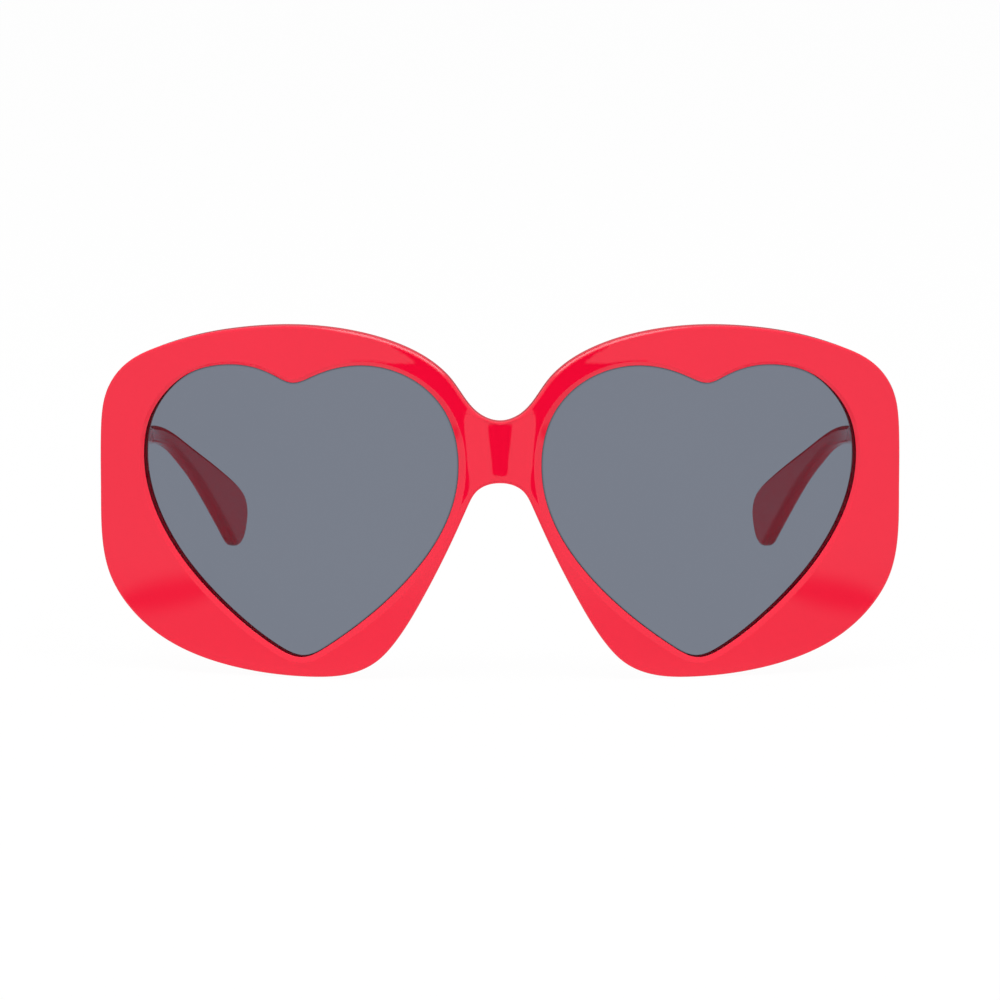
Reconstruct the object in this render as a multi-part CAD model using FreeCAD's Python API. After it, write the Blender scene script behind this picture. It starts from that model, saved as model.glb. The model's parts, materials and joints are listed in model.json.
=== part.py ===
import FreeCAD, Part
import math
import os
from FreeCAD import Placement, Rotation, Vector

# Heart shaped sunglasses, in millimetres.
# A wrapped acetate front holds two tinted lenses and two nose pads. Each temple is an acetate
# arm on a steel core wire, and folds on a five barrel hinge sunk into the acetate.
# The glasses stand open on their rims and temple tips: +Z is up, the front faces -Y, +X is the
# viewer's right, and the origin is on the floor under the middle of the whole object.

# Front, in the box measures that frame makers use
LENS_WIDTH = 58.4
LENS_HEIGHT = 54.8
BRIDGE_GAP = 15.2
TEMPORAL_RIM = 8.3
TOP_RIM = 7.1
BOTTOM_RIM = 3.7
FRONT_THICKNESS = 3.4
WRAP_RADIUS = 210.0
OUTER_EDGE_ROUND = 0.5
BACK_EDGE_ROUND = 0.8
OPENING_BEVEL_WIDTH = 1.2
OPENING_BEVEL_DEPTH = 0.55
OPENING_BACK_ROUND = 0.5

# Lenses
LENS_THICKNESS = 1.8
LENS_DEPTH = 0.7
LENS_SEAT = 0.8
LENS_EDGE_LAND = 0.5
LENS_CLEARANCE = 0.05

# Nose pads, glued to the back of the nasal rims
PAD_LENGTH = 13.0
PAD_BASE_WIDTH = 1.6
PAD_REACH = 3.8
PAD_SPLAY = 0.2
PAD_END_ROUND = 0.5
PAD_RIM_INSET = 1.15

# Temples, which taper from the butt to the bend round the ear
TEMPLE_LENGTH = 126.0
TEMPLE_THICKNESS = 4.2
PADDLE_THICKNESS = 2.7
TEMPLE_BUTT_HEIGHT = 10.0
TEMPLE_DROP = 22.4
TEMPLE_EDGE_ROUND = 1.1
TEMPLE_INSET = 1.4
PANTOSCOPIC_TILT = 9.8
EAR_BEND_START = 64.0
EAR_BEND_RADIUS = 60.0
EAR_BEND_ANGLE = 17.5
BUTT_GAP = 0.15

# Core wire, shot into the temple from its butt end
CORE_RADIUS = 0.6
CORE_BEND_RADIUS = 18.0
CORE_INWARD_RUN = 8.0
CORE_DROP_ANGLE = 20.0
CORE_DEPTH_SHARE = 0.45
CORE_BUTT_SETBACK = 0.8
CORE_TIP_SETBACK = 16.0
CORE_CLEARANCE = 0.03

# End pieces that carry the hinges behind the front
HINGE_HEIGHT = 42.6
LUG_LENGTH = 7.6
LUG_ROOT = 1.4
LUG_EDGE_ROUND = 1.0

# Hinges
BARREL_RADIUS = 1.25
BARREL_COUNT = 5
BARREL_HEIGHT = 1.5
BARREL_GAP = 0.06
BARREL_RELIEF = 0.3
LEAF_THICKNESS = 0.9
LEAF_LENGTH = 5.8
LEAF_SETBACK = 1.7
LEAF_CORNER = 0.9
LEAF_CLEARANCE = 0.03
FOOT_RADIUS = 0.65
FOOT_LENGTH = 1.9
FOOT_SPREAD = 4.4
SCREW_RADIUS = 0.7
SCREW_CLEARANCE = 0.05
SCREW_HEAD_RADIUS = 1.1
SCREW_HEAD_HEIGHT = 0.65
SCREW_SLOT_WIDTH = 0.3
SCREW_SLOT_DEPTH = 0.3

# How far cutting tools run past what they cut
OVERRUN = 6.0

# Heart opening from its notch, down the nasal side to the tip and up the temporal side:
# shares of the lens width from the nasal side, and of the lens height from the tip
HEART_SHARES = [
    (0.525, 0.936), (0.465, 0.957), (0.398, 0.985), (0.300, 1.000), (0.200, 0.982),
    (0.110, 0.930), (0.045, 0.852), (0.009, 0.755), (0.000, 0.660), (0.012, 0.555),
    (0.050, 0.445), (0.133, 0.310), (0.270, 0.160), (0.415, 0.041), (0.500, 0.000),
    (0.585, 0.034), (0.720, 0.142), (0.857, 0.291), (0.945, 0.435), (0.990, 0.567),
    (1.000, 0.690), (0.982, 0.793), (0.930, 0.886), (0.845, 0.960), (0.750, 0.989),
    (0.655, 0.986), (0.580, 0.958),
]

# Half outline of the front from the top of the bridge, over the brow and down the temporal
# side to the underside of the bridge: shares of the half gap at the bridge, of the rim's reach
# beyond it, and of the front's height
OUTLINE_SHARES = [
    (0.000, 0.000, 0.736), (0.487, 0.000, 0.755), (0.828, 0.000, 0.796), (1.000, 0.017, 0.849),
    (1.000, 0.069, 0.899), (1.000, 0.153, 0.946), (1.000, 0.291, 0.986), (1.000, 0.443, 1.000),
    (1.000, 0.600, 0.989), (1.000, 0.729, 0.963), (1.000, 0.828, 0.929), (1.000, 0.900, 0.893),
    (1.000, 0.950, 0.847), (1.000, 0.982, 0.788), (1.000, 0.998, 0.680), (1.000, 1.000, 0.500),
    (1.000, 0.997, 0.365), (1.000, 0.976, 0.266), (1.000, 0.922, 0.176), (1.000, 0.833, 0.098),
    (1.000, 0.657, 0.027), (1.000, 0.521, 0.005), (1.000, 0.409, 0.000), (1.000, 0.295, 0.014),
    (1.000, 0.231, 0.046), (1.000, 0.178, 0.102), (1.000, 0.102, 0.226), (1.000, 0.010, 0.413),
    (0.770, 0.000, 0.496), (0.545, 0.000, 0.539), (0.292, 0.000, 0.556), (0.000, 0.000, 0.561),
]

# Side view of the temple from the top of its butt, back to the paddle and forward again:
# shares of the temple's length, and of its drop below the hinge
TEMPLE_SHARES = [
    (0.160, 0.172), (0.320, 0.124), (0.460, 0.097), (0.560, 0.093), (0.630, 0.082),
    (0.685, 0.020), (0.742, -0.071), (0.840, -0.226), (0.925, -0.372), (0.965, -0.456),
    (0.990, -0.549), (1.000, -0.673), (0.995, -0.814), (0.983, -0.929), (0.955, -1.000),
    (0.931, -0.934), (0.889, -0.772), (0.830, -0.553), (0.775, -0.372), (0.725, -0.237),
    (0.680, -0.133), (0.635, -0.078), (0.560, -0.073), (0.460, -0.084), (0.320, -0.115),
    (0.160, -0.172),
]

# The straight nasal edge of the front that the pad follows, in shares as for the outline
PAD_EDGE_SHARES = [(1.000, 0.102, 0.226), (1.000, 0.010, 0.413)]
PAD_END_LENGTH_SHARE = 0.66
PAD_END_WIDTH_SHARE = 0.8

# How many points of a closed outline one wall face spans
OUTLINE_STEP = 4
HEART_STEP = 3

HALF_GAP = BRIDGE_GAP / 2
RIM_REACH = LENS_WIDTH + TEMPORAL_RIM
HALF_WIDTH = HALF_GAP + RIM_REACH
FRONT_HEIGHT = BOTTOM_RIM + LENS_HEIGHT + TOP_RIM
BACK_RADIUS = WRAP_RADIUS - FRONT_THICKNESS
AXIS = Vector(0, WRAP_RADIUS, 0)
UP = Vector(0, 0, 1)


def sag(radius, x):
    """Depth of a cylinder round the wrap axis, at a distance x from the middle."""
    return WRAP_RADIUS - math.sqrt(radius ** 2 - x ** 2)


TEMPLE_OUTER_X = HALF_WIDTH - TEMPLE_INSET
LEAF_FACE = BARREL_RADIUS - LEAF_THICKNESS
PIVOT_X = TEMPLE_OUTER_X - TEMPLE_THICKNESS - LEAF_FACE
PIVOT_Y = sag(BACK_RADIUS, PIVOT_X) + LUG_LENGTH
BARREL_STACK = BARREL_COUNT * BARREL_HEIGHT + (BARREL_COUNT - 1) * BARREL_GAP


def closed_spline(points):
    """A closed curve through points, and its parameter at each of them."""
    params = [0.0]
    for start, end in zip(points, points[1:] + points[:1]):
        params.append(params[-1] + (end - start).Length)
    curve = Part.BSplineCurve()
    curve.interpolate(Points=points, PeriodicFlag=True, Parameters=params)
    return curve, params


def closed_wire(points, step):
    """A closed curve through points, as a wire of edges that each span a few points."""
    curve, params = closed_spline(points)
    stops = list(range(0, len(points), step)) + [len(points)]
    edges = []
    for start, end in zip(stops, stops[1:]):
        piece = curve.copy()
        piece.segment(params[start], params[end])
        edges.append(piece.toShape())
    return Part.Wire(edges)


def grown(points, distance):
    """Points of a closed front view outline, moved outwards along its normals."""
    curve, params = closed_spline(points)
    area = sum(a.x * b.z - b.x * a.z for a, b in zip(points, points[1:] + points[:1]))
    side = math.copysign(distance, area)
    moved = []
    for point, param in zip(points, params):
        tangent = curve.tangent(param)[0]
        moved.append(point + Vector(tangent.z, 0, -tangent.x) * side)
    return moved


def wall_solid(points, step):
    """Solid whose walls pass through a front view outline, square to the wrapped face."""
    wires = []
    for y in (-OVERRUN, PIVOT_Y + OVERRUN):
        spread = WRAP_RADIUS - y
        on_plane = [Vector(spread * math.tan(math.asin(p.x / WRAP_RADIUS)), y, p.z) for p in points]
        wires.append(closed_wire(on_plane, step))
    return Part.makeLoft(wires, True, True)


def wrap_cylinder(depth):
    """Solid cylinder round the wrap axis, whose wall lies at a depth behind the front face."""
    return Part.makeCylinder(WRAP_RADIUS - depth, FRONT_HEIGHT + 2 * OVERRUN, AXIS - UP * OVERRUN, UP)


def wrapped_slab(walls, near, far):
    """The part of a wall solid between two depths behind the front face."""
    return walls.common(wrap_cylinder(near)).cut(wrap_cylinder(far))


def depth_of(point):
    """How far a point lies behind the front face, square to it."""
    return WRAP_RADIUS - math.hypot(point.x, point.y - WRAP_RADIUS)


def edges_at_depth(shape, depth, outline=None):
    """Long edges of a slab at one depth, and on one front view outline if it is given."""
    found = []
    for edge in shape.Edges:
        first, last = edge.FirstParameter, edge.LastParameter
        spots = [edge.valueAt(first + (last - first) * share) for share in (0.1, 0.5, 0.9)]
        if any(abs(depth_of(spot) - depth) > LENS_CLEARANCE / 2 for spot in spots):
            continue
        if outline is not None:
            scale = WRAP_RADIUS / (WRAP_RADIUS - depth)
            flat = [Part.Vertex(spot.x * scale, 0, spot.z) for spot in spots]
            if any(vertex.distToShape(outline)[0] > LENS_CLEARANCE for vertex in flat):
                continue
        found.append(edge)
    return found


def mirrored(shape):
    """The same piece on the other side."""
    return shape.mirror(Vector(0, 0, 0), Vector(1, 0, 0))


def heart_points():
    """Points of the right heart opening in the front view."""
    return [Vector(HALF_GAP + x * LENS_WIDTH, 0, BOTTOM_RIM + z * LENS_HEIGHT) for x, z in HEART_SHARES]


def front_points(shares):
    """Front view points from shares of the half gap, the rim's reach and the front's height."""
    return [Vector(gap * HALF_GAP + rim * RIM_REACH, 0, z * FRONT_HEIGHT) for gap, rim, z in shares]


def outline_points():
    """Points of the whole outline of the front in the front view."""
    right = front_points(OUTLINE_SHARES)
    left = [Vector(-p.x, 0, p.z) for p in reversed(right[1:-1])]
    return right + left


def lens_solid(growth):
    """The right lens with its bevelled rim, or, with a growth, the groove that takes it."""
    walls = wall_solid(grown(heart_points(), LENS_SEAT + growth), HEART_STEP)
    near = LENS_DEPTH - growth
    far = LENS_DEPTH + LENS_THICKNESS + growth
    slab = wrapped_slab(walls, near, far)
    edges = edges_at_depth(slab, near) + edges_at_depth(slab, far)
    return slab.makeChamfer((LENS_THICKNESS - LENS_EDGE_LAND) / 2, edges)


def box_between(low, high):
    """A box from its lowest to its highest corner."""
    size = high - low
    return Part.makeBox(size.x, size.y, size.z, low)


def long_edges(box, axis):
    """The four edges of a box that run along an axis."""
    return [edge for edge in box.Edges if abs(edge.tangentAt(edge.FirstParameter).dot(axis)) > 0.5]


def at_hinge(shape):
    """Bring a piece from the right hinge's own frame into the object's frame."""
    tilt = Rotation(Vector(1, 0, 0), -PANTOSCOPIC_TILT)
    placed = shape.copy()
    placed.Placement = Placement(Vector(PIVOT_X, PIVOT_Y, HINGE_HEIGHT), tilt)
    return placed


# Pieces in the right hinge's own frame: the pin is the Z axis, the temple runs along +Y

def barrel_relief():
    """Room for the barrels, through the whole height so that a screwdriver reaches the screw."""
    reach = TEMPLE_BUTT_HEIGHT + OVERRUN
    return Part.makeCylinder(BARREL_RADIUS + BARREL_RELIEF, 2 * reach, UP * -reach, UP)


def leaf_plate(clearance):
    """A hinge leaf's plate with its two feet, for the temple side, or the room that it takes."""
    low = Vector(LEAF_FACE - clearance, LEAF_SETBACK - clearance, -BARREL_STACK / 2 - clearance)
    high = Vector(BARREL_RADIUS + clearance, LEAF_SETBACK + LEAF_LENGTH + clearance, -low.z)
    plate = box_between(low, high)
    corners = [e for e in long_edges(plate, Vector(1, 0, 0)) if e.CenterOfMass.y > LEAF_SETBACK]
    plate = plate.makeFillet(LEAF_CORNER, corners)
    for z in (-FOOT_SPREAD / 2, FOOT_SPREAD / 2):
        root = Vector(LEAF_FACE + LEAF_THICKNESS / 2, LEAF_SETBACK + LEAF_LENGTH / 2, z)
        length = LEAF_THICKNESS / 2 + FOOT_LENGTH + clearance
        foot = Part.makeCylinder(FOOT_RADIUS + clearance, length, root, Vector(1, 0, 0))
        plate = plate.fuse(foot)
    return plate.removeSplitter()


def leaf_pocket():
    """Room for a hinge leaf in the acetate, open towards the barrels."""
    low = Vector(LEAF_FACE - LEAF_CLEARANCE, 0, -BARREL_STACK / 2 - LEAF_CLEARANCE)
    high = Vector(BARREL_RADIUS + LEAF_CLEARANCE, LEAF_SETBACK + LEAF_CORNER, -low.z)
    return leaf_plate(LEAF_CLEARANCE).fuse(box_between(low, high)).fuse(barrel_relief())


def hinge_leaf(barrels):
    """A hinge leaf for the temple side with its share of the barrels, bored for the screw."""
    leaf = leaf_plate(0)
    for index in barrels:
        bottom = -BARREL_STACK / 2 + index * (BARREL_HEIGHT + BARREL_GAP)
        leaf = leaf.fuse(Part.makeCylinder(BARREL_RADIUS, BARREL_HEIGHT, UP * bottom, UP))
        web_low = Vector(LEAF_FACE, 0, bottom)
        web_high = Vector(BARREL_RADIUS, LEAF_SETBACK + LEAF_CORNER, bottom + BARREL_HEIGHT)
        leaf = leaf.fuse(box_between(web_low, web_high))
    bore = Part.makeCylinder(SCREW_RADIUS + SCREW_CLEARANCE, 2 * BARREL_STACK, UP * -BARREL_STACK, UP)
    return leaf.cut(bore).removeSplitter()


def front_side(shape):
    """Turn a hinge piece made for the temple side to the front's side of the pin."""
    return shape.mirror(Vector(0, 0, 0), Vector(0, 1, 0))


def hinge_screw():
    """Slotted screw, put in from above and flush with the lowest barrel."""
    top = BARREL_STACK / 2
    shank = Part.makeCylinder(SCREW_RADIUS, BARREL_STACK, UP * -top, UP)
    seat = top + BARREL_GAP
    neck = Part.makeCylinder(SCREW_RADIUS, BARREL_GAP, UP * top, UP)
    head = Part.makeCylinder(SCREW_HEAD_RADIUS, SCREW_HEAD_HEIGHT, UP * seat, UP)
    crown = [e for e in head.Edges if e.CenterOfMass.z > seat and e.Closed]
    head = head.makeFillet(SCREW_HEAD_HEIGHT / 3, crown)
    slot_low = Vector(-OVERRUN, -SCREW_SLOT_WIDTH / 2, seat + SCREW_HEAD_HEIGHT - SCREW_SLOT_DEPTH)
    slot = box_between(slot_low, Vector(OVERRUN, SCREW_SLOT_WIDTH / 2, seat + OVERRUN))
    return shank.fuse(neck).fuse(head).cut(slot).removeSplitter()


def lug_block():
    """End piece behind the front's temporal rim, before its pockets are cut."""
    half = TEMPLE_BUTT_HEIGHT / 2
    low = Vector(LEAF_FACE, -LUG_LENGTH - LUG_ROOT, -half)
    high = Vector(LEAF_FACE + TEMPLE_THICKNESS, -BUTT_GAP / 2, half)
    block = box_between(low, high)
    return block.makeFillet(LUG_EDGE_ROUND, long_edges(block, Vector(0, 1, 0)))


def temple_plan():
    """Band that the temple follows from above: straight and tapered, round the ear, straight."""
    turn = math.radians(EAR_BEND_ANGLE)
    inward = Vector(-math.sin(turn), math.cos(turn), 0)
    centre = Vector(LEAF_FACE - EAR_BEND_RADIUS, EAR_BEND_START, 0)
    rows = []
    for butt_depth, paddle_depth in ((0, 0), (TEMPLE_THICKNESS, PADDLE_THICKNESS)):
        start = Vector(LEAF_FACE + butt_depth, BUTT_GAP / 2, 0)
        radius = EAR_BEND_RADIUS + paddle_depth
        away = start - centre
        entry = math.atan2(away.y, away.x) + math.acos(radius / away.Length)
        bend = [
            centre + Vector(math.cos(angle), math.sin(angle), 0) * radius
            for angle in (entry, (entry + turn) / 2, turn)
        ]
        rows.append([start] + bend + [bend[-1] + inward * TEMPLE_LENGTH])
    inner, outer = rows
    edges = [
        Part.LineSegment(inner[0], inner[1]).toShape(),
        Part.Arc(inner[1], inner[2], inner[3]).toShape(),
        Part.LineSegment(inner[3], inner[4]).toShape(),
        Part.LineSegment(inner[4], outer[4]).toShape(),
        Part.LineSegment(outer[4], outer[3]).toShape(),
        Part.Arc(outer[3], outer[2], outer[1]).toShape(),
        Part.LineSegment(outer[1], outer[0]).toShape(),
        Part.LineSegment(outer[0], inner[0]).toShape(),
    ]
    reach = TEMPLE_DROP + TEMPLE_BUTT_HEIGHT
    band = Part.Face(Part.Wire(edges)).extrude(UP * 2 * reach)
    band.translate(UP * -reach)
    return band


def temple_side():
    """The temple's side view, as a slab across the whole width that the bend takes."""
    butt_top = Vector(0, BUTT_GAP / 2, TEMPLE_BUTT_HEIGHT / 2)
    butt_foot = Vector(0, BUTT_GAP / 2, -TEMPLE_BUTT_HEIGHT / 2)
    middle = [Vector(0, y * TEMPLE_LENGTH, z * TEMPLE_DROP) for y, z in TEMPLE_SHARES]
    points = [butt_top] + middle + [butt_foot]
    params = [0.0]
    for start, end in zip(points, points[1:]):
        params.append(params[-1] + (end - start).Length)
    curve = Part.BSplineCurve()
    curve.interpolate(Points=points, Parameters=params)
    stops = list(range(0, len(points) - 1, OUTLINE_STEP)) + [len(points) - 1]
    edges = []
    for start, end in zip(stops, stops[1:]):
        piece = curve.copy()
        piece.segment(params[start], params[end])
        edges.append(piece.toShape())
    edges.append(Part.LineSegment(butt_foot, butt_top).toShape())
    slab = Part.Face(Part.Wire(edges)).extrude(Vector(2 * TEMPLE_LENGTH, 0, 0))
    slab.translate(Vector(-TEMPLE_LENGTH, 0, 0))
    return slab


def bent_path(corners, radius):
    """A line through corners, with an arc of one radius at each corner between the ends."""
    edges = []
    start = corners[0]
    for before, corner, after in zip(corners, corners[1:], corners[2:]):
        back = (before - corner).normalize()
        ahead = (after - corner).normalize()
        half = back.getAngle(ahead) / 2
        bend_in = corner + back * (radius / math.tan(half))
        bend_out = corner + ahead * (radius / math.tan(half))
        middle = corner + (back + ahead).normalize() * (radius / math.sin(half) - radius)
        edges.append(Part.LineSegment(start, bend_in).toShape())
        edges.append(Part.Arc(bend_in, middle, bend_out).toShape())
        start = bend_out
    edges.append(Part.LineSegment(start, corners[-1]).toShape())
    return Part.Wire(edges)


def core_path(setback):
    """Middle line of the core wire from a distance behind the butt: inwards at the bend, then down."""
    turn = math.radians(EAR_BEND_ANGLE)
    depth = PADDLE_THICKNESS * CORE_DEPTH_SHARE
    mouth = Vector(LEAF_FACE + TEMPLE_THICKNESS / 2, 0, 0)
    bend_y = EAR_BEND_START + (EAR_BEND_RADIUS + depth) * math.tan(turn / 2)
    bend = Vector(LEAF_FACE + depth, bend_y, 0)
    inward = Vector(-math.tan(turn), 1, 0)
    downward = Vector(-math.tan(turn), 1, -math.tan(math.radians(CORE_DROP_ANGLE)))
    drop = bend + inward * CORE_INWARD_RUN
    end = drop + downward * (TEMPLE_LENGTH - CORE_TIP_SETBACK - drop.y)
    start = mouth + (bend - mouth).normalize() * setback
    return bent_path([start, bend, drop, end], CORE_BEND_RADIUS)


def core_wire(radius, setback):
    """The core wire, or, with a larger radius and no setback, the tunnel that holds it."""
    path = core_path(setback)
    start, end = (vertex.Point for vertex in path.Edges[0].Vertexes)
    ring = Part.makeCircle(radius, start, end - start)
    return path.makePipeShell([Part.Wire([ring])], True, False)


def temple_arm():
    """The acetate temple, with its tunnel, leaf pocket and room for the barrels."""
    arm = temple_side().common(temple_plan())
    butt = BUTT_GAP / 2 + BUTT_GAP
    rounded = [e for e in arm.Edges if e.BoundBox.YMax > butt and is_long_ridge(e)]
    arm = arm.makeFillet(TEMPLE_EDGE_ROUND, rounded)
    return arm.cut(core_wire(CORE_RADIUS + CORE_CLEARANCE, 0)).cut(leaf_pocket())


def is_long_ridge(edge):
    """Whether an edge runs along the temple and not across its thickness."""
    first, last = edge.FirstParameter, edge.LastParameter
    run = edge.valueAt(last) - edge.valueAt(first)
    return not (edge.Curve.TypeId == "Part::GeomLine" and abs(run.x) > abs(run.y) and abs(run.z) < BUTT_GAP)


def pad_section(y, length, width, slide):
    """Outline of a nose pad at one depth: two straight sides with round ends."""
    foot_end, top_end = front_points(PAD_EDGE_SHARES)
    along = (top_end - foot_end).normalize()
    across = Vector(along.z, 0, -along.x)
    centre = (foot_end + top_end) / 2 + across * PAD_RIM_INSET + Vector(slide, y, 0)
    half = (length - width) / 2
    top, foot = centre + along * half, centre - along * half
    side = across * (width / 2)
    cap = along * (width / 2)
    edges = [
        Part.LineSegment(foot + side, top + side).toShape(),
        Part.Arc(top + side, top + cap, top - side).toShape(),
        Part.LineSegment(top - side, foot - side).toShape(),
        Part.Arc(foot - side, foot - cap, foot + side).toShape(),
    ]
    return Part.Wire(edges)


def nose_pad():
    """The right nose pad, fitted to the back of the front."""
    base = FRONT_THICKNESS - OPENING_BACK_ROUND
    tip = sag(BACK_RADIUS, HALF_GAP) + PAD_REACH
    sections = [
        pad_section(base, PAD_LENGTH, PAD_BASE_WIDTH, 0),
        pad_section(tip, PAD_LENGTH * PAD_END_LENGTH_SHARE, PAD_BASE_WIDTH * PAD_END_WIDTH_SHARE, PAD_SPLAY),
    ]
    pad = Part.makeLoft(sections, True, True)
    end = [e for e in pad.Edges if e.BoundBox.YMin > tip - PAD_END_ROUND]
    pad = pad.makeFillet(PAD_END_ROUND, end)
    return pad.common(wrap_cylinder(FRONT_THICKNESS))


def front_frame():
    """The acetate front with both openings, grooves and hinge end pieces."""
    plate = wrapped_slab(wall_solid(outline_points(), OUTLINE_STEP), 0, FRONT_THICKNESS)
    plate = plate.makeFillet(OUTER_EDGE_ROUND, edges_at_depth(plate, 0))
    plate = plate.makeFillet(BACK_EDGE_ROUND, edges_at_depth(plate, FRONT_THICKNESS))
    opening = wall_solid(heart_points(), HEART_STEP)
    heart_line = closed_wire(heart_points(), HEART_STEP)
    for walls, line in ((opening, heart_line), (mirrored(opening), mirrored(heart_line))):
        plate = plate.cut(walls)
        front_edges = edges_at_depth(plate, 0, line)
        plate = plate.makeChamfer(OPENING_BEVEL_WIDTH, OPENING_BEVEL_DEPTH, front_edges)
        back_edges = edges_at_depth(plate, FRONT_THICKNESS, line)
        plate = plate.makeFillet(OPENING_BACK_ROUND, back_edges)
    groove = lens_solid(LENS_CLEARANCE)
    lug = at_hinge(lug_block())
    pocket = at_hinge(front_side(leaf_pocket()))
    plate = plate.cut(groove).cut(mirrored(groove)).fuse(lug).fuse(mirrored(lug))
    return plate.cut(pocket).cut(mirrored(pocket))


def right_pieces():
    """Every piece of the right side, in the object's frame before it is centred."""
    all_barrels = range(BARREL_COUNT)
    return {
        "lens": lens_solid(0),
        "nose_pad": nose_pad(),
        "temple": at_hinge(temple_arm()),
        "core_wire": at_hinge(core_wire(CORE_RADIUS, CORE_BUTT_SETBACK)),
        "front_hinge": at_hinge(front_side(hinge_leaf(all_barrels[0::2]))),
        "temple_hinge": at_hinge(hinge_leaf(all_barrels[1::2])),
        "hinge_screw": at_hinge(hinge_screw()),
    }


def build():
    """All pieces by name, moved so that the origin is on the floor under the object's middle."""
    pieces = {"front_frame": front_frame()}
    for name, shape in right_pieces().items():
        pieces["right_" + name] = shape
        pieces["left_" + name] = mirrored(shape)
    box = Part.makeCompound(list(pieces.values())).optimalBoundingBox(False, False)
    shift = Vector(0, -(box.YMin + box.YMax) / 2, -box.ZMin)
    for shape in pieces.values():
        shape.translate(shift)
    return pieces, shift


os.makedirs("parts", exist_ok=True)
parts, centring = build()
for part_name, part_shape in parts.items():
    part_shape.exportStep("parts/" + part_name + ".step")
    print(part_name, len(part_shape.Solids), part_shape.isValid(), round(part_shape.Volume, 1))
print("right pivot", [round(c, 3) for c in Vector(PIVOT_X, PIVOT_Y, HINGE_HEIGHT) + centring])
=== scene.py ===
"""Looks of the heart shaped sunglasses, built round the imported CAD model.

Sizes are in millimetres and repeat the driving dimensions of the CAD source. Shapes are worked out
in the front's own frame, whose face touches y = 0 in the middle, and the right hinge's pin, which
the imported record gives, places them in the object's frame.
"""
import json
import logging
import math
from dataclasses import dataclass
from enum import Enum
from typing import Any

import bmesh
import bpy
import numpy as np
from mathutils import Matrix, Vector


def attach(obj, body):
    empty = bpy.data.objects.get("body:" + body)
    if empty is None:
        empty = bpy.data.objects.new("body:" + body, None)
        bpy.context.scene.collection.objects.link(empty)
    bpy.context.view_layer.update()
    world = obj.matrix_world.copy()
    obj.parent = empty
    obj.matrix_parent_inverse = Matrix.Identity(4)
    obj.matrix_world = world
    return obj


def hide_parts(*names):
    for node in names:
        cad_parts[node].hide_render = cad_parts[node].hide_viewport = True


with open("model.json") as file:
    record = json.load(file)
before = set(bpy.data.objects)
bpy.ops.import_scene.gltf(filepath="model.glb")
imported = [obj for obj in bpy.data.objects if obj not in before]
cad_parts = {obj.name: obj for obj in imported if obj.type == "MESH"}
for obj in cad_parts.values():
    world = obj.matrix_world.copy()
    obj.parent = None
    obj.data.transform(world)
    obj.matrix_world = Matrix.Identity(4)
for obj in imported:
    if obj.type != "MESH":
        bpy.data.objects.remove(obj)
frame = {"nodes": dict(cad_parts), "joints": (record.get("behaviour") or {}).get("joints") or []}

LOG = logging.getLogger("sunglasses")
MM = 0.001
# Points nearer than this are merged, and the flats that part two arcs are longer, in millimetres
WELD = 0.002
LAND = 0.01
# Degrees past which an edge stays sharp
SHARP_ANGLE = 38.0
# A mesh's own attribute: how much a point belongs to the rim, where a lens gets painted shade, or
# to the card
MASK = "mask"
# The colour inputs and the colour output of a Mix node
MIX_COLOURS, MIX_RESULT = (6, 7), 2
# The shared polish: detail of its clouds and marks, roughness of the marks' noise, and the range
# of that noise over which the marks dull the surface
CLOUD_DETAIL, MARK_DETAIL, MARK_ROUGHNESS = 2.0, 5.0, 0.62
MARK_RANGE = (0.45, 0.75)
# Points in a quarter circle where a piece flares at its root
FLARE_STEPS = 8

Pair = tuple[float, float]
Colour = Place = tuple[float, float, float]
Corners = tuple[float, float, float, float]
Material, Node, Socket = bpy.types.Material, bpy.types.Node, bpy.types.NodeSocket

# Heart opening from its notch, down the nasal side to the tip and up the temporal side:
# shares of the lens width from the nasal side, and of the lens height from the tip
HEART_SHARES = (
    (0.525, 0.936), (0.465, 0.957), (0.398, 0.985), (0.300, 1.000), (0.200, 0.982),
    (0.110, 0.930), (0.045, 0.852), (0.009, 0.755), (0.000, 0.660), (0.012, 0.555),
    (0.050, 0.445), (0.133, 0.310), (0.270, 0.160), (0.415, 0.041), (0.500, 0.000),
    (0.585, 0.034), (0.720, 0.142), (0.857, 0.291), (0.945, 0.435), (0.990, 0.567),
    (1.000, 0.690), (0.982, 0.793), (0.930, 0.886), (0.845, 0.960), (0.750, 0.989),
    (0.655, 0.986), (0.580, 0.958),
)

# Half outline of the front from the top of the bridge, over the brow and down the temporal side
# to the underside of the bridge: shares of the half gap, of the rim's reach and of the height
OUTLINE_SHARES = (
    (0.000, 0.000, 0.736), (0.487, 0.000, 0.755), (0.828, 0.000, 0.796), (1.000, 0.017, 0.849),
    (1.000, 0.069, 0.899), (1.000, 0.153, 0.946), (1.000, 0.291, 0.986), (1.000, 0.443, 1.000),
    (1.000, 0.600, 0.989), (1.000, 0.729, 0.963), (1.000, 0.828, 0.929), (1.000, 0.900, 0.893),
    (1.000, 0.950, 0.847), (1.000, 0.982, 0.788), (1.000, 0.998, 0.680), (1.000, 1.000, 0.500),
    (1.000, 0.997, 0.365), (1.000, 0.976, 0.266), (1.000, 0.922, 0.176), (1.000, 0.833, 0.098),
    (1.000, 0.657, 0.027), (1.000, 0.521, 0.005), (1.000, 0.409, 0.000), (1.000, 0.295, 0.014),
    (1.000, 0.231, 0.046), (1.000, 0.178, 0.102), (1.000, 0.102, 0.226), (1.000, 0.010, 0.413),
    (0.770, 0.000, 0.496), (0.545, 0.000, 0.539), (0.292, 0.000, 0.556), (0.000, 0.000, 0.561),
)

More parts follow.
